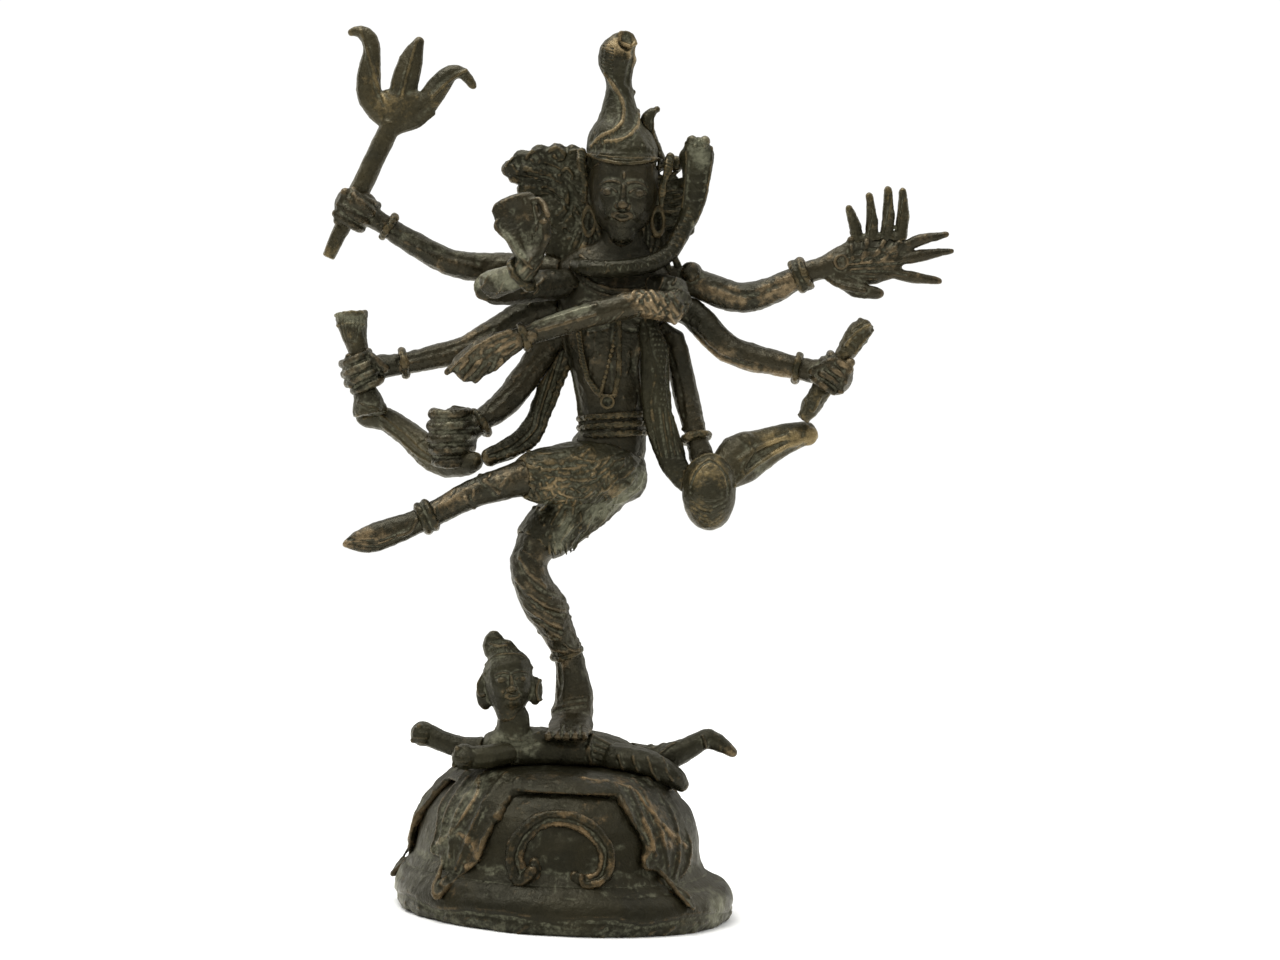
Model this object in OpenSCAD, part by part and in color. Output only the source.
// Eight-armed dancing figure on a dwarf and a domed plinth, cast in brass and pegged together.
// Millimetres. +Z is up, the viewer stands on the -Y side, and the origin is the centre of the
// plinth's underside.

/* [Plinth] */
// Radius of the rolled foot rim
rim_r = 42.5; // [42:0.5:45]
// Height of the rolled foot rim
rim_h = 10; // [9:0.5:11]
// Radius of the dome where it leaves the rim
dome_r = 36; // [35:0.5:37.5]
// Height of the dome's crown
dome_h = 36; // [35.5:0.5:36.5]
// Thickness of the cast wall
wall = 2.6; // [2:0.1:3]
// Thickness of the cloth that lies over the dome
cloth_t = 1.2; // [0.8:0.1:1.5]

/* [Figure] */
// Lean of the figure to its own right, in degrees
lean = 3; // [2:0.5:3.5]
// Radius of the pegs that hold the arms in the torso
peg_r = 1.5; // [1.2:0.1:1.8]
// Thickness of the wrist and ankle rings
ring_t = 1.0; // [0.8:0.1:1.2]
// Gap between a ring and the limb inside it
ring_gap = 0.25; // [0.2:0.05:0.3]

/* [Trident] */
// Radius of the shaft where it runs through the fist
shaft_r = 2; // [1.8:0.1:2.2]
// Radial clearance of the shaft in the fist
shaft_gap = 0.05; // [0.03:0.01:0.08]
// Length of the whole shaft
shaft_len = 37; // [36:0.5:38]

/* [Fixing] */
// Radius of the rivet that holds the foot
rivet_r = 2; // [1.6:0.1:2.2]
// Radius of the washer under the dome
washer_r = 5; // [4.5:0.5:6]

/* [Hidden] */
bronze = "#4a4230";
worn = "#7d6a45";
shade = "#35301f";
steel = "#8b8b86";
seat_gap = 0.1;

// A limb is a list of stations [x, y, z, half width from side to side, half depth].
TORSO = [[9, 0, 110.5, 8.8, 7], [11.2, 0, 114.5, 9.4, 7.6], [12.7, 0, 120, 8.3, 6.8],
    [12.2, 0, 128, 8.4, 6.5], [12, 0, 136, 9.8, 7], [11.6, 0, 144, 11.8, 7.8],
    [12.3, 1, 152, 14, 8], [13.4, 1.5, 159, 14.8, 7.2], [14.4, 1, 164, 10.5, 5.8],
    [14.8, 0, 167.5, 6, 5], [15, -1, 173, 4.8, 4.6]];
STANDING_LEG = [[9, 0, 106, 6.8, 6.5], [2.8, -2.5, 100, 6, 6.2], [-4.3, -5.5, 94, 5.6, 5.8],
    [-8.4, -7.5, 87.5, 4.8, 5.2], [-7, -8, 81, 4.9, 5.2], [-3.8, -5.5, 75.6, 5.4, 5],
    [-1, -2.5, 69.6, 4.1, 4.4], [1.2, -0.5, 64.3, 3.8, 4], [2.4, 0.5, 58, 4.3, 4],
    [2.8, 0.6, 52, 5, 4.4], [2.2, 0.5, 48.4, 5.6, 4.8]];
STANDING_FOOT = [[3, 4, 46.8, 4.4, 3], [2.4, -1, 47, 5.6, 3.6], [1.8, -7, 45.8, 6, 2.6],
    [1.2, -11, 45, 5.4, 1.9]];
RAISED_LEG = [[13, -2, 109, 7.2, 7], [4, -8, 109, 6.8, 6.6], [-6, -13.5, 108.4, 5.2, 5.2],
    [-13, -16.5, 107, 4.2, 4.4], [-21, -18, 104.3, 3.7, 3.8], [-28, -19, 100.8, 3.3, 3.4],
    [-32.6, -19.4, 98.6, 3, 3], [-38, -20, 96, 3.1, 2.8], [-45, -20.8, 93.6, 3.6, 2.6],
    [-49.6, -21.4, 92.6, 2.6, 2], [-52, -21.8, 92, 1.1, 1.1]];
TRIDENT_ARM = [[3, 3, 159.6, 3.4, 3.4], [-8, 4, 160.6, 3.7, 3.6], [-19.5, 3, 161, 3.7, 3.6],
    [-28, 1.5, 161.8, 3.5, 3.4], [-37, 0, 166.4, 3.2, 3.1], [-43.5, -1.2, 170.6, 2.7, 2.6],
    [-48, -1.8, 173.4, 2.9, 2.9]];
DRUM_ARM = [[2, 3, 152.4, 3.4, 3.4], [-7, 3.2, 150.6, 3.8, 3.6], [-16, 2, 145.2, 3.7, 3.5],
    [-24, 0.4, 140.6, 3.4, 3.3], [-31, -1, 138.4, 3.3, 3.2], [-39.5, -2, 136.6, 2.8, 2.7],
    [-45.4, -2.6, 135.8, 3.2, 3]];
HORN_ARM = [[4, 2, 146, 3.4, 3.2], [-3.5, 1.5, 142, 3.8, 3.6], [-8, 0, 135, 3.8, 3.6],
    [-14, -2, 127.2, 3.6, 3.5], [-20.5, -4, 121.8, 3, 3], [-25, -5, 119.4, 3.6, 3.4]];
BLESSING_ARM = [[4, -1.5, 156.5, 3.6, 3.6], [-5, -5, 155.8, 4, 4], [-13.6, -9, 154.6, 4.1, 4],
    [-18.2, -13, 155, 4, 4], [-15, -17.5, 155.8, 3.6, 3.6], [-9.5, -20.6, 157.5, 3.1, 3],
    [-7.6, -21.5, 161, 3.6, 2.8], [-8.2, -21.5, 166, 5.1, 2.6], [-10, -21, 171, 6, 2.2],
    [-11.6, -20.5, 175, 6, 1.8]];
CROSSING_ARM = [[20, -1, 156, 3.6, 3.6], [28, -6, 154, 4.2, 4], [27, -11, 150, 4.3, 4.2],
    [19, -14.6, 150.8, 3.5, 3.5], [8, -16, 148, 3.2, 3.2], [-2, -16.8, 144.8, 2.9, 2.9],
    [-9, -17.2, 142.4, 2.6, 2.5], [-14.5, -17.6, 140, 4, 2.2], [-20, -18, 136.8, 4.8, 1.8],
    [-25, -18.2, 134, 3.6, 1.2]];
FLAME_ARM = [[23, 3, 158.5, 3.2, 3.2], [33, 3, 157, 3.7, 3.6], [39, 2, 154.6, 3.9, 3.7],
    [45, 1, 153, 3.9, 3.7], [52.5, 0, 155, 3.6, 3.5], [59.5, -1.5, 158.6, 2.9, 2.8],
    [65, -2.4, 160.4, 3.1, 2.8], [71, -3, 161.4, 5.6, 2.6], [78, -3.4, 162.2, 6, 2.3],
    [82.5, -3.6, 162.8, 5.2, 1.8]];
DAGGER_ARM = [[22, 2, 151.5, 3.2, 3.2], [32, 2, 149.6, 3.7, 3.5], [38, 1, 143, 3.8, 3.6],
    [44, 0, 139, 3.6, 3.5], [52, -1, 137, 3.4, 3.3], [58.5, -2, 135.4, 2.9, 2.8],
    [64, -2.6, 134.4, 3.4, 3.1]];
CONCH_ARM = [[20, 2, 147, 3, 3], [27.4, 1.5, 142.5, 3.4, 3.2], [29.4, 0, 134, 3.3, 3.1],
    [31.6, -2, 125, 3.2, 3], [33.2, -4, 118, 2.8, 2.7], [34.6, -5, 113, 3.4, 3]];
SASH_RIGHT = [[3, 1, 141, 3, 2], [-1.6, 1.5, 136, 3, 2], [-4.6, 0.5, 129, 2.5, 1.8],
    [-6, -1, 124, 2.7, 1.8], [-8.2, -4.4, 119.4, 3, 1.9], [-12.4, -9, 115.6, 2.8, 1.9],
    [-18, -13, 112.8, 2.4, 1.7]];
SASH_LEFT = [[19.5, -4, 148, 3, 2], [22.6, -6, 141, 3.4, 2], [22.6, -7, 132, 3.4, 1.9],
    [23.4, -7, 124, 3.5, 1.9], [25.4, -7, 116.5, 3.6, 1.9], [28.4, -8, 110, 3.4, 1.9],
    [31.6, -9, 105.6, 2.4, 1.8]];
NECK_SNAKE = [[4, 3, 162.5, 1.8, 1.8], [3.4, -4, 161, 2, 2], [8, -8.2, 159.6, 2.2, 2.2],
    [15, -9.6, 159.6, 2.3, 2.3], [22, -8, 161, 2.3, 2.3], [26.6, -4.6, 164, 2.2, 2.2],
    [29.2, -3, 168.4, 2.3, 2.2], [31.4, -2.6, 173, 2.6, 2.2], [33, -2.6, 178, 3, 2.2],
    [33.4, -3, 184, 3.9, 2.4], [33.4, -3.8, 188.4, 4.5, 2.8], [33.2, -4.4, 190.4, 3.4, 2.4]];
HEADDRESS = [[15.2, -1.5, 187.6, 9, 9.3], [14.3, -1, 191.6, 8.6, 8.4], [14, -1, 194.6, 7.5, 7.2],
    [14.1, -1, 197, 5.6, 5.8], [14, -1, 200.5, 4.4, 4.5], [14.2, -1, 204.8, 3.5, 3.8],
    [14, -1, 207.8, 3.4, 3.5], [13.5, -1.4, 211.4, 4.7, 4.4], [13.8, -1.8, 214, 4.9, 4.5],
    [14.8, -2, 215.8, 3.8, 3.4]];
HEAD = [[14.7, -4.6, 168.8, 3.6, 3.6], [14.8, -3.8, 171.2, 5.9, 6.6], [15, -3, 175, 7.8, 8.4],
    [15.1, -2.4, 180, 8.6, 9.3], [15.3, -2, 185, 8.5, 9.2], [15.4, -1.6, 188.6, 7, 7.4]];
KICKING_LEG = [[13, 1, 38, 4.6, 5], [19, 1, 37.2, 4.4, 4.6], [24, 0.6, 37.4, 4, 4],
    [29, 0, 39.4, 3.2, 3.2], [34, 0, 42, 2.6, 2.6], [36.4, 0, 43, 2.5, 2.5]];
HORN = [[-49, 2, 123.6, 3, 3], [-44.5, 1.4, 122.6, 3.1, 3.1], [-38.8, 0, 119.2, 3.3, 3.2],
    [-33.8, -2.4, 114.6, 3.8, 3.6], [-28.4, -5.2, 111.4, 3.6, 3.4], [-22, -9.4, 112, 2.8, 2.8]];
CONCH_LIP = [[40, -6, 108.6, 4.4, 3.4], [44, -4, 112.6, 6.6, 3.6], [50, -1.6, 115.4, 5.2, 3.2],
    [56, 0.4, 118, 3.9, 2.9], [61.2, 1.6, 119.6, 2.9, 2.5]];
SCROLL = [[-6.6, 16.2], [-6.4, 13.4], [-9.4, 11.8], [-12.2, 15], [-11.4, 21], [-6.6, 26.2],
    [-0.8, 27.6], [5.4, 25.4], [10.2, 20.6], [11.4, 15.6], [8.8, 12], [5, 11.4], [3, 13.6]];
TAIL = [[-9, 36], [-9.6, 27], [-7.6, 21], [-8.6, 15.6], [-3.6, 14.4], [-1.6, 8], [1, 5.6], [3, 11],
    [7.6, 15], [9.6, 22], [9, 36]];
TAIL_ANGLES = [-94, -42, 48, 132, 222];
SHAFT_FOOT = [-58.5, -2, 163];
SHAFT_TILT = 25.3;
DRUM_TOP = [-52.8, -3.2, 149];
DRUM_BOTTOM = [-47.8, -3.2, 123.8];
DAGGER_TOP = [76, -3.4, 147.4];
DAGGER_BOTTOM = [59.4, -3.4, 122.6];
FOOT_AT = [1, 0, 0];
dome_x = -2;
scroll_r = 1.5;
ear_x = 15.1;
shaft_seat = 17.5;

// A point or a station between the corners i and i + 1 of a list, on a Catmull-Rom curve.
function between(p, i, t) =
    let (a = p[max(i - 1, 0)], b = p[i], c = p[i + 1], d = p[min(i + 2, len(p) - 1)])
    0.5 * (2 * b + (c - a) * t + (2 * a - 5 * b + 4 * c - d) * t * t
        + (3 * b - a - 3 * c + d) * t * t * t);
function smooth(p, steps) =
    [for (i = [0:len(p) - 2]) for (k = [0:steps - 1]) between(p, i, k / steps), p[len(p) - 1]];
function unit(v) = v / norm(v);
function place(s) = [s[0], s[1], s[2]];
function heading(p, i) = unit(place(p[min(i + 1, len(p) - 1)]) - place(p[max(i - 1, 0)]));
function ring(s, along, face, sides) =
    let (across = unit(cross(along, face)), out = cross(across, along))
    [for (j = [0:sides - 1])
        place(s) + across * s[3] * cos(360 * j / sides) + out * s[4] * sin(360 * j / sides)];
// Shrinks a station towards an end, so that the limb closes in a round tip.
function tip(s, along, angle) =
    concat(place(s) + along * min(s[3], s[4]) * sin(angle), [s[3], s[4]] * cos(angle));

// A solid limb through stations. face is the direction that half depth is measured along.
module limb(stations, sides = 10, steps = 2, face = [0, 1, 0]) {
    p = smooth(stations, steps);
    last = len(p) - 1;
    rings = concat(
        [for (a = [75, 40]) ring(tip(p[0], -heading(p, 0), a), heading(p, 0), face, sides)],
        [for (i = [0:last]) ring(p[i], heading(p, i), face, sides)],
        [for (a = [40, 75]) ring(tip(p[last], heading(p, last), a), heading(p, last), face, sides)]);
    points = [for (r = rings) for (q = r) q];
    n = sides;
    walls = [for (i = [0:len(rings) - 2]) for (j = [0:n - 1]) for (half = [0, 1])
        half == 0 ? [i * n + j, i * n + (j + 1) % n, (i + 1) * n + (j + 1) % n]
                  : [i * n + j, (i + 1) * n + (j + 1) % n, (i + 1) * n + j]];
    end = (len(rings) - 1) * n;
    caps = [[for (j = [0:n - 1]) n - 1 - j], [for (j = [0:n - 1]) end + j]];
    polyhedron(points, concat(walls, caps));
}

// Joins or cuts freely shaped pieces as one casting.
module casting() {
    resize([0, 0, 0]) children();
}

module ball(at, size, fn = 12) {
    translate(at) scale(size) sphere(1, $fn = fn);
}

// Turns a child that stands on the origin along +Z so that it runs from one point to another.
module along(from, to) {
    v = to - from;
    translate(from) rotate([0, acos(v[2] / norm(v)), atan2(v[1], v[0])]) children();
}

// Leans the figure and the dwarf together.
module leaning() {
    rotate([0, -lean, 0]) children();
}

// A peg from inside the torso into the arm, or the slightly larger hole that takes it.
module peg(path, gap = 0) {
    from = place(path[0]);
    along(from, place(path[1])) translate([0, 0, -gap])
        cylinder(h = norm(place(path[1]) - from) + gap, r = peg_r + gap / 2, $fn = 32);
}

// A ring with a true bore that sits on a limb at a station. bend is room for a bend of the limb.
module limb_ring(path, i, twin = false, bend = 0) {
    bore = max(path[i][3], path[i][4]) + ring_gap + bend;
    at = place(path[i]);
    along(at, at + heading(path, i)) for (k = twin ? [-1, 1] : [0])
        translate([0, 0, k * ring_t]) rotate_extrude($fn = 48) difference() {
            translate([bore, 0]) circle(ring_t, $fn = 24);
            translate([bore - 2 * ring_t, -2 * ring_t]) square([2 * ring_t, 4 * ring_t]);
        }
}

// Half outlines of the dome and of the foot rim, a little larger or smaller than the casting.
function dome_outline(grow = 0) = smooth([[dome_r + grow, rim_h], [dome_r - 0.8 + grow, 19],
    [dome_r - 3.5 + grow, 26.5], [dome_r - 9.5 + grow, dome_h - 3.6 + grow],
    [dome_r - 17 + grow, dome_h - 0.8 + grow], [0, dome_h + grow]], 3);
function rim_outline(grow = 0) = smooth([[rim_r - 1.6 + grow, 0], [rim_r - 0.2 + grow, 3.4],
    [rim_r - 0.6 + grow, 6.8], [rim_r - 2.8 + grow, rim_h - 0.8 + grow / 2],
    [dome_r - 1 + grow, rim_h + grow / 2]], 3);

module rim_solid(grow, below) {
    rotate_extrude($fn = 96) polygon(concat([[0, -below], [rim_r - 1.6 + grow, -below]],
        rim_outline(grow), [[0, rim_h + grow / 2]]));
}

module dome_solid(grow = 0) {
    translate([dome_x, 0, 0]) rotate_extrude($fn = 72)
        polygon(concat([[0, rim_h - 4], [dome_r + grow, rim_h - 4]], dome_outline(grow)));
}

module fist(at, size, knuckle, from, to) {
    ball(at, size);
    for (k = [0:3])
        ball(from + (to - from) * k / 3, knuckle, 8);
}

module torso_form() {
    limb(TORSO, 16);
}

module standing_leg_form() {
    limb(STANDING_LEG, 12);
    limb(STANDING_FOOT, 10, 2, [0, 0, 1]);
    for (k = [0:4])
        ball([-3.2 + 2.2 * k, -12.6 - 0.5 * (k - k * k / 4), 44.6], [1.2, 2, 1.3], 8);
}

module raised_leg_form() {
    limb(RAISED_LEG, 12);
}

module dwarf_form() {
    limb([[-15, -10, 41, 5.5, 6], [-9, -8, 40.6, 6, 7], [0, -4, 40, 6, 7.5],
        [9, -1, 38.8, 6, 7.5], [15, -1, 37.4, 5.2, 6.6]], 14);
    limb([[-14, -10, 39, 5, 5], [-12, -11, 45, 4.4, 4], [-12, -11.4, 50, 3.8, 3.6]], 12);
}

module head_form() {
    limb(HEAD, 14);
    for (side = [-1, 1])
        ball([ear_x + side * 8.4, 0, 177.6], [1.4, 1.8, 3.4], 10);
}

// Long loops that hang through the ear lobes.
module earring_form() {
    for (side = [-1, 1])
        translate([ear_x + side * 8.6, -1.4, 172]) scale([0.8, 1, 1.7]) rotate([90, 0, 0])
            rotate_extrude($fn = 20) translate([1.9, 0]) circle(0.6, $fn = 8);
}

module diadem_form() {
    translate([15.2, -1.8, 187.2]) rotate([-8, 0, 0])
        rotate_extrude($fn = 32) translate([9, 0]) circle(1.1, $fn = 8);
}

module conch_form() {
    ball([36.3, -9.5, 104.6], [6.7, 6.4, 9.7], 20);
    limb(CONCH_LIP, 12);
}

module trident_hand_form() {
    fist([-51.6, -2.2, 175.4], [5.6, 5.2, 5.4], [1.6, 1.8, 1.5], [-55.6, -5.2, 172], [-53.6, -6, 178.6]);
}

module arm(path) {
    difference() {
        limb(path);
        torso_form();
    }
}

// The hole through the fist, with a flat seat for the shoulder of the shaft.
module shaft_bore() {
    translate(SHAFT_FOOT) rotate([0, SHAFT_TILT, 0]) {
        cylinder(h = shaft_len, r = shaft_r + shaft_gap, $fn = 48);
        translate([0, 0, shaft_seat]) cylinder(h = shaft_len, r = shaft_r + 1, $fn = 48);
    }
}

module dagger_shape(grow = 0) {
    length = norm(DAGGER_TOP - DAGGER_BOTTOM);
    along(DAGGER_BOTTOM, DAGGER_TOP) rotate_extrude($fn = 32)
        polygon([[0, 0], [1.6 + grow, 0.3], [2.4 + grow, 3], [2.5 + grow, 8], [2.2 + grow, 18],
            [2.6 + grow, 21], [3.1 + grow, 25], [2.2 + grow, length - 0.6], [0, length]]);
}

module drum_shape(grow = 0) {
    length = norm(DRUM_TOP - DRUM_BOTTOM);
    along(DRUM_BOTTOM, DRUM_TOP) rotate_extrude($fn = 40)
        polygon([[0, 0], [4.3 + grow, 0], [4.4 + grow, 1.2], [2.6 + grow, 8], [2.3 + grow, 13],
            [2.6 + grow, 17], [4.1 + grow, length - 1], [4 + grow, length], [0, length]]);
}

// Lays a point of the front scroll on the dome.
function on_dome(x, z) =
    let (r = lookup(z, [for (q = dome_outline()) [q[1], q[0]]]))
    [x, -sqrt(r * r - pow(x - dome_x, 2)), z];

module scroll() {
    band = [for (q = SCROLL) concat(on_dome(q[0], q[1]), [scroll_r, scroll_r])];
    casting() difference() {
        limb(band, 8, 2);
        dome_solid(seat_gap);
        rim_solid(seat_gap, 0);
    }
}

module plinth() {
    color(shade) difference() {
        union() {
            rim_solid(0, 0);
            dome_solid();
        }
        rim_solid(-wall, 1);
        dome_solid(-wall);
        translate([FOOT_AT[0], FOOT_AT[1], 0])
            cylinder(h = dome_h + 1, r = rivet_r + seat_gap, $fn = 32);
    }
}

module cloth_skin(out) {
    dome_solid(out);
    rim_solid(out, 1);
}

// A leaf-shaped tail of the cloth, as a block that points away from the dome's axis.
module tail_block(turn) {
    rotate([0, 0, turn]) rotate([90, 0, 0]) linear_extrude(rim_r * 2) polygon(TAIL);
}

module plinth_cloth() {
    color(bronze) difference() {
        intersection() {
            cloth_skin(seat_gap + cloth_t);
            translate([dome_x, 0, 0]) union() {
                translate([0, 0, dome_h - 4]) cylinder(h = 10, r = rim_r);
                for (turn = TAIL_ANGLES)
                    tail_block(turn);
            }
        }
        cloth_skin(seat_gap);
        translate([FOOT_AT[0], FOOT_AT[1], 0])
            cylinder(h = dome_h + 5, r = rivet_r + seat_gap, $fn = 32);
    }
}

module scroll_front() {
    color(worn) scroll();
}

module scroll_back() {
    color(worn) translate([2 * dome_x, 0, 0]) rotate([0, 0, 180]) scroll();
}

module foot_rivet() {
    head_h = 2;
    under = dome_h - wall - 1.2;
    color(steel) translate([FOOT_AT[0], FOOT_AT[1], under - head_h]) {
        cylinder(h = head_h, r1 = rivet_r + 0.8, r2 = rivet_r + 1.8, $fn = 32);
        cylinder(h = head_h + 16, r = rivet_r, $fn = 32);
    }
}

module foot_washer() {
    under = dome_h - wall - 1.2;
    color(steel) translate([FOOT_AT[0], FOOT_AT[1], under]) difference() {
        cylinder(h = 0.8, r = washer_r, $fn = 48);
        translate([0, 0, -1]) cylinder(h = 3, r = rivet_r + seat_gap, $fn = 32);
    }
}

module rivet_hole() {
    translate([FOOT_AT[0], FOOT_AT[1], dome_h - 3]) cylinder(h = 20, r = rivet_r + seat_gap / 2, $fn = 32);
}

// What the dwarf lies on: the dome under its cloth.
module dwarf_seat() {
    rotate([0, lean, 0]) dome_solid(cloth_t + 2 * seat_gap);
}

module dwarf_body() {
    color(bronze) difference() {
        leaning() casting() difference() {
            dwarf_form();
            dwarf_seat();
        }
        rivet_hole();
    }
}

module dwarf_head() {
    color(bronze) leaning() casting() difference() {
        union() {
            limb([[-13, -12.6, 50.6, 3.4, 3.4], [-13, -12, 54, 5.2, 5.6], [-13, -11.6, 58, 6, 6.4],
                [-13.6, -11.2, 62, 6, 6], [-14.4, -11, 64.6, 4, 4]], 14);
            ball([-16.7, -10.8, 66.6], [2.9, 2.7, 4], 10);
            ball([-18.8, -11.3, 54.8], [2.4, 1.7, 4.1], 10);
            ball([-6.6, -11.3, 55.7], [2.1, 1.7, 3.7], 10);
        }
        dwarf_form();
    }
}

module dwarf_arm_reaching() {
    color(bronze) leaning() casting() difference() {
        union() {
            limb([[-17, -10, 41.4, 3.2, 3.2], [-24, -9.6, 41.4, 2.9, 2.9], [-30, -9.2, 43.2, 2.7, 2.7],
                [-33, -9, 44.6, 2.8, 2.8]]);
            fist([-34.4, -9, 45], [3.2, 3, 3.2], [0.9, 1, 0.9], [-36.6, -10.6, 43.4], [-35, -11.4, 46.8]);
        }
        dwarf_form();
        dwarf_seat();
    }
}

module dwarf_arm_bent() {
    color(bronze) leaning() casting() difference() {
        union() {
            limb([[-13, -14, 40.6, 3, 3], [-17.6, -17.6, 40, 3, 3], [-22, -19, 40, 2.8, 2.8]]);
            fist([-23.4, -19.4, 40.2], [3.3, 3, 3.3], [0.9, 1, 0.9], [-25.8, -21, 38.4], [-25, -21.4, 42.4]);
        }
        dwarf_form();
        dwarf_seat();
    }
}

module dwarf_leg_kicking() {
    color(bronze) leaning() casting() difference() {
        union() {
            limb(KICKING_LEG);
            limb([[35.4, 0, 43, 2.4, 2.4], [38.6, 0, 42, 2.4, 2.3], [42.4, 0, 39.4, 1.4, 2]], 10);
        }
        dwarf_form();
        dwarf_seat();
    }
}

module dwarf_leg_folded() {
    color(bronze) leaning() casting() difference() {
        limb([[13, -6, 38, 4.6, 4.6], [19, -9, 37.6, 4.2, 4.4], [24, -10, 36, 3.6, 3.8],
            [28, -9, 34, 2.8, 3], [29.4, -8.4, 32.6, 2.2, 2.4]]);
        dwarf_form();
        dwarf_seat();
        limb(KICKING_LEG);
    }
}

module torso() {
    color(bronze) leaning() difference() {
        casting() torso_form();
        for (path = [TRIDENT_ARM, DRUM_ARM, HORN_ARM, BLESSING_ARM, CROSSING_ARM, FLAME_ARM,
                DAGGER_ARM, CONCH_ARM])
            peg(path, seat_gap);
    }
}

module standing_leg() {
    color(bronze) difference() {
        leaning() casting() difference() {
            standing_leg_form();
            torso_form();
            dwarf_form();
            dwarf_seat();
        }
        rivet_hole();
    }
}

module raised_leg() {
    color(bronze) leaning() casting() difference() {
        raised_leg_form();
        torso_form();
        standing_leg_form();
    }
}

// The first stations of a leg, made thicker by the cloth that covers them.
function cover(path, count, thick) =
    [for (k = [0:count - 1]) path[k] + [0, 0, 0, thick, thick]];

module skirt_form() {
    limb(cover(RAISED_LEG, 3, 1.5), 12);
    limb(cover(STANDING_LEG, 3, 1.4), 12);
}

module skirt() {
    color(worn) leaning() casting() difference() {
        skirt_form();
        torso_form();
        standing_leg_form();
        raised_leg_form();
        limb(SASH_LEFT);
    }
}

module belt() {
    color(worn) leaning() casting() difference() {
        for (k = [0:2])
            translate([12.6, 0, 118.8 + 2.3 * k]) rotate([0, -4, 0]) scale([1, 0.84, 1])
                rotate_extrude($fn = 18) translate([8.6, 0]) circle(0.9, $fn = 6);
        torso_form();
        limb(SASH_LEFT);
        skirt_form();
    }
}

module head() {
    color(bronze) leaning() casting() difference() {
        head_form();
        torso_form();
        limb(HEADDRESS, 14);
        earring_form();
    }
}

module headdress() {
    color(bronze) leaning() casting() difference() {
        limb(HEADDRESS, 14);
        along([15, -3.5, 214], [17, -6.2, 219.5]) cylinder(h = 8, r1 = 1.2, r2 = 4, $fn = 20);
    }
}

module diadem() {
    color(worn) leaning() casting() difference() {
        diadem_form();
        head_form();
        limb(HEADDRESS, 14);
    }
}

module crescent_form() {
    limb([[23, 0, 186.4, 3.2, 2], [21.8, 0, 191, 2.6, 1.9], [20.9, 0, 195, 2, 1.7],
        [21.2, 0, 198.2, 1.8, 1.5], [22.3, 0, 199.4, 1.3, 1.2]]);
}

module crescent() {
    color(bronze) leaning() casting() difference() {
        crescent_form();
        limb(HEADDRESS, 14);
        head_form();
        diadem_form();
    }
}

// One lock of hair from the head out to a curled end.
module lock_of_hair(from, to, r) {
    middle = (from + to) / 2 + [0, 1, 1];
    limb([concat(from, [r, r]), concat(middle, [r, r]), concat(to, [r * 1.15, r])], 7, 1);
}

module hair_fan_right() {
    ends = [[-13.4, 2, 185.6], [-10.6, 2, 188.2], [-6, 2, 189.6], [-1.8, 2, 189.8], [2.6, 2, 189.6],
        [-9.6, 3, 180.4], [-8, 4, 176], [-6, 4, 171.6]];
    color(bronze) leaning() casting() difference() {
        union() {
            for (e = ends)
                lock_of_hair([8.6, 2, 176 + (e[2] - 176) * 0.45], e, 2.1);
            limb([[0, 4, 164, 5, 2.4], [1, 4, 170, 7, 2.6], [1, 4, 178, 8, 2.6]], 12, 1);
        }
        hair_seat();
    }
}

module hair_fan_left() {
    color(bronze) leaning() casting() difference() {
        union() {
            for (k = [0:4])
                lock_of_hair([22, 2, 170.6 + 2.6 * k], [31.6, 1, 170 + 2.9 * k], 1.5);
            lock_of_hair([22, 1, 185], [28.6, 0, 186.8], 1.9);
            limb([[21, 3, 165, 3, 2.2], [22.4, 3, 174, 3, 2.2], [22, 2, 180, 2.6, 2.2], [22, 1, 185, 2, 2]]);
        }
        hair_seat();
    }
}

module neck_snake() {
    color(worn) leaning() casting() difference() {
        limb(NECK_SNAKE);
        torso_form();
        head_form();
        limb(BLESSING_ARM);
        limb(CROSSING_ARM);
        limb(FLAME_ARM);
        limb(TRIDENT_ARM);
    }
}

module earrings() {
    color(worn) leaning() casting() difference() {
        earring_form();
        torso_form();
    }
}

// What the hair is cast round.
module hair_seat() {
    head_form();
    diadem_form();
    crescent_form();
    earring_form();
    limb(HEADDRESS, 14);
    torso_form();
    limb(NECK_SNAKE);
    limb(TRIDENT_ARM);
    limb(FLAME_ARM);
}

module garland_form() {
    limb([[3.4, -6.4, 150, 0.8, 0.8], [4.6, -6.4, 140, 0.8, 0.8], [6.4, -6, 132.5, 0.8, 0.8],
        [9.6, -6.6, 128.4, 0.8, 0.8]], 8);
    limb([[12.8, -6.8, 128.4, 0.8, 0.8], [14, -7, 134, 0.8, 0.8], [14, -7.6, 141, 0.8, 0.8],
        [14, -8.2, 150, 0.8, 0.8]], 8);
}

module garland() {
    color(worn) leaning() casting() difference() {
        garland_form();
        torso_form();
    }
}

module pendant() {
    color(worn) leaning() casting() difference() {
        ball([11.2, -6.8, 127], [1.9, 1.4, 1.9]);
        torso_form();
        garland_form();
    }
}

module sash_right() {
    color(bronze) leaning() casting() difference() {
        limb(SASH_RIGHT);
        torso_form();
        limb(HORN_ARM);
        raised_leg_form();
        skirt_form();
    }
}

module sash_left() {
    color(bronze) leaning() casting() difference() {
        limb(SASH_LEFT);
        torso_form();
        limb(CONCH_ARM);
        conch_form();
    }
}

module arm_trident() {
    color(bronze) leaning() difference() {
        union() {
            casting() difference() {
                union() {
                    limb(TRIDENT_ARM);
                    trident_hand_form();
                }
                torso_form();
            }
            peg(TRIDENT_ARM);
        }
        shaft_bore();
    }
}

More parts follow.
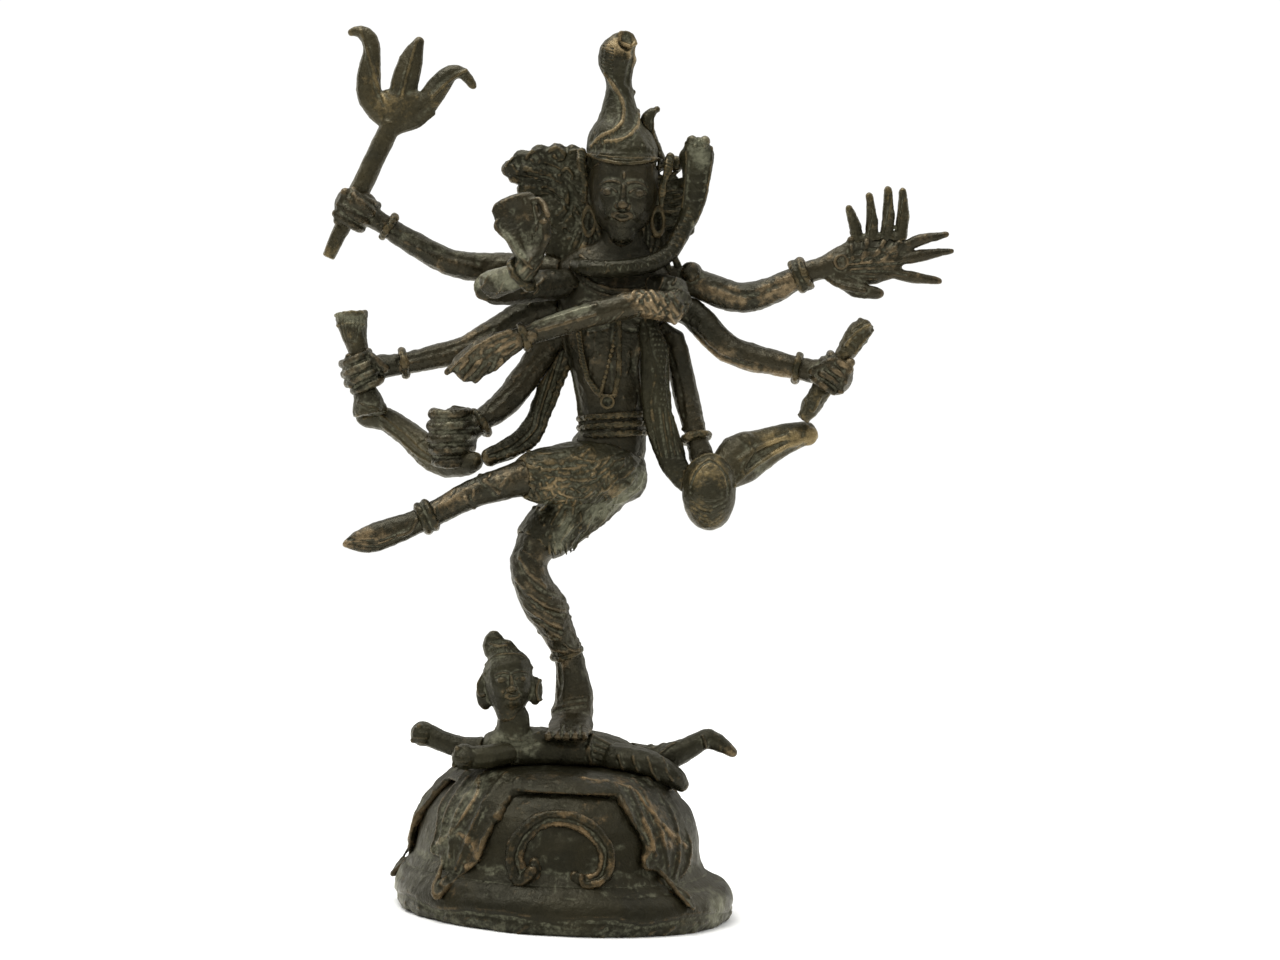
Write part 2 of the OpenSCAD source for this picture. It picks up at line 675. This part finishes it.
module arm_drum() {
    color(bronze) leaning() union() {
        casting() difference() {
            union() {
                limb(DRUM_ARM);
                fist([-50, -3.2, 134.8], [4.2, 4.4, 5.2], [1.3, 1.4, 1.2], [-52.2, -6, 131],
                    [-52.8, -6.2, 138]);
            }
            torso_form();
            drum_shape(seat_gap);
        }
        peg(DRUM_ARM);
    }
}

module arm_horn() {
    color(bronze) leaning() union() {
        casting() difference() {
            union() {
                limb(HORN_ARM);
                fist([-26.8, -6, 117.6], [5.8, 5.2, 8.2], [1.5, 1.6, 1.5], [-28.4, -9.8, 111.6],
                    [-30.4, -9.2, 122.4]);
            }
            torso_form();
            limb(HORN);
        }
        peg(HORN_ARM);
    }
}

module arm_blessing() {
    color(worn) leaning() union() {
        casting() difference() {
            union() {
                limb(BLESSING_ARM);
                limb([[-6, -21.6, 162, 1.6, 1.6], [-3.6, -22.6, 166, 1.6, 1.6],
                    [-3.6, -23, 171, 1.4, 1.4]], 8);
            }
            torso_form();
        }
        peg(BLESSING_ARM);
    }
}

module arm_crossing() {
    color(worn) leaning() union() {
        casting() difference() {
            union() {
                limb(CROSSING_ARM);
                limb([[-15, -18.6, 141.6, 1.5, 1.4], [-22, -19.2, 138.4, 1.4, 1.3],
                    [-27.6, -19.4, 133.6, 1, 1]], 10);
            }
            torso_form();
        }
        peg(CROSSING_ARM);
    }
}

// The open hand: three fingers to the side, a thumb below, and a ball on the shoulder.
module flame_arm_form() {
    tips = [[95.4, -5, 168.4], [96.6, -4.4, 164.4], [93.6, -3.6, 157]];
    limb(FLAME_ARM);
    ball([32.2, 1.8, 159.6], [2.8, 2.6, 2.8]);
    for (k = [0:2])
        finger([82, -3.6, 164.4 - 2.6 * k], tips[k], [0, 0, 0.8 - 0.6 * k]);
    limb([[68.6, -3.4, 158.6, 2.4, 2], [73, -4.4, 154.8, 2.2, 1.8], [78.6, -5, 153.8, 1.6, 1.5]], 8);
}

module finger(from, to, arch) {
    limb([concat(from, [1.7, 1.6]), concat((from + to) / 2 + arch, [1.6, 1.5]), concat(to, [1, 1])], 8, 1);
}

module arm_flame() {
    color(bronze) leaning() union() {
        casting() difference() {
            flame_arm_form();
            torso_form();
        }
        peg(FLAME_ARM);
    }
}

module arm_dagger() {
    color(bronze) leaning() union() {
        casting() difference() {
            union() {
                limb(DAGGER_ARM);
                fist([67.6, -3.4, 133.8], [4.8, 4.6, 5.4], [1.4, 1.5, 1.2], [69, -7, 129.4],
                    [71.4, -6.4, 136.6]);
            }
            torso_form();
            limb(CONCH_ARM);
            dagger_shape(seat_gap);
        }
        peg(DAGGER_ARM);
    }
}

module arm_conch() {
    color(bronze) leaning() union() {
        casting() difference() {
            limb(CONCH_ARM);
            torso_form();
            conch_form();
        }
        peg(CONCH_ARM);
    }
}

module bracelet_trident() { color(worn) leaning() limb_ring(TRIDENT_ARM, 5); }
module bracelet_drum() { color(worn) leaning() limb_ring(DRUM_ARM, 5); }
module bracelet_horn() { color(worn) leaning() limb_ring(HORN_ARM, 4); }
module bracelet_blessing() { color(worn) leaning() limb_ring(BLESSING_ARM, 5, bend = 0.6); }
module bracelet_crossing() { color(worn) leaning() limb_ring(CROSSING_ARM, 6); }
module bracelet_flame() { color(worn) leaning() limb_ring(FLAME_ARM, 5, true, 0.2); }
module bracelet_dagger() { color(worn) leaning() limb_ring(DAGGER_ARM, 5); }
module bracelet_conch() { color(worn) leaning() limb_ring(CONCH_ARM, 4); }
module anklet_standing() { color(worn) leaning() limb_ring(STANDING_LEG, 7); }
module anklet_raised() { color(worn) leaning() limb_ring(RAISED_LEG, 6, true); }

module trident() {
    color(bronze) leaning() translate(SHAFT_FOOT) {
        rotate([0, SHAFT_TILT, 0]) {
            cylinder(h = 6, r1 = shaft_r - 0.5, r2 = shaft_r, $fn = 48);
            translate([0, 0, 6]) cylinder(h = shaft_seat - 6, r = shaft_r, $fn = 48);
            translate([0, 0, shaft_seat]) cylinder(h = shaft_len - shaft_seat, r = shaft_r + 0.6, $fn = 48);
        }
        translate(shaft_len * [sin(SHAFT_TILT), 0, cos(SHAFT_TILT)]) casting() trident_head();
    }
}

// The bowl and the three prongs, from the top of the shaft.
module trident_head() {
    limb([[0, 0, -1, 3, 2.3], [2, 0, 2, 6.2, 2.3], [3.2, 0, 4.6, 8.4, 2.2], [3.4, 0, 6.6, 7, 2]], 12, 1);
    limb([[-1.6, 0, 1.6, 3, 2.1], [-5.2, 0, 6, 3.2, 2], [-5.7, 0, 11.4, 3.1, 1.9],
        [-4.9, 0, 17.4, 2.3, 1.7], [-5.5, 0, 21, 2.1, 1.6], [-8, 0, 22.9, 1.5, 1.4],
        [-9.9, 0, 22.6, 1, 1]], 10);
    limb([[2.2, 0, 3, 3.4, 2], [3.2, 0, 9.6, 3.6, 1.9], [4.9, 0, 15.6, 3.1, 1.7],
        [6.9, 0, 20.4, 1.4, 1.2]], 10);
    limb([[4.8, 0, 2.4, 3, 2], [9, 0, 5.4, 3.1, 2], [12, 0, 9.6, 2.9, 1.8],
        [15, 0, 12.6, 2.1, 1.6], [18, 0, 12.4, 1.6, 1.4], [20.3, 0, 9.4, 1.1, 1.1]], 10);
}

module drum() {
    color(worn) leaning() drum_shape();
}

module horn() {
    color(bronze) leaning() casting() difference() {
        limb(HORN);
        drum_shape(seat_gap);
        raised_leg_form();
        skirt_form();
    }
}

module flame() {
    tips = [[71.2, -4, 175], [76.2, -5, 177.8], [80.8, -5, 179.6], [84.6, -4, 179.2]];
    color(bronze) leaning() casting() difference() {
        union() {
            for (k = [0:3])
                finger([73.4 + 3.5 * k, -3.4, 166.6], tips[k], [0.4, 0, 0]);
            limb([[73.4, -3.4, 167, 1.6, 1.6], [83.8, -3.4, 168, 1.6, 1.6]], 8, 1, [0, 0, 1]);
        }
        flame_arm_form();
    }
}

module dagger() {
    color(bronze) leaning() dagger_shape();
}

module conch() {
    color(worn) leaning() casting() conch_form();
}

plinth();
plinth_cloth();
scroll_front();
scroll_back();
foot_rivet();
foot_washer();
dwarf_body();
dwarf_head();
dwarf_arm_reaching();
dwarf_arm_bent();
dwarf_leg_kicking();
dwarf_leg_folded();
torso();
standing_leg();
raised_leg();
skirt();
belt();
head();
headdress();
diadem();
crescent();
hair_fan_right();
hair_fan_left();
neck_snake();
earrings();
garland();
pendant();
sash_right();
sash_left();
arm_trident();
arm_drum();
arm_horn();
arm_blessing();
arm_crossing();
arm_flame();
arm_dagger();
arm_conch();
bracelet_trident();
bracelet_drum();
bracelet_horn();
bracelet_blessing();
bracelet_crossing();
bracelet_flame();
bracelet_dagger();
bracelet_conch();
anklet_standing();
anklet_raised();
trident();
drum();
horn();
flame();
dagger();
conch();
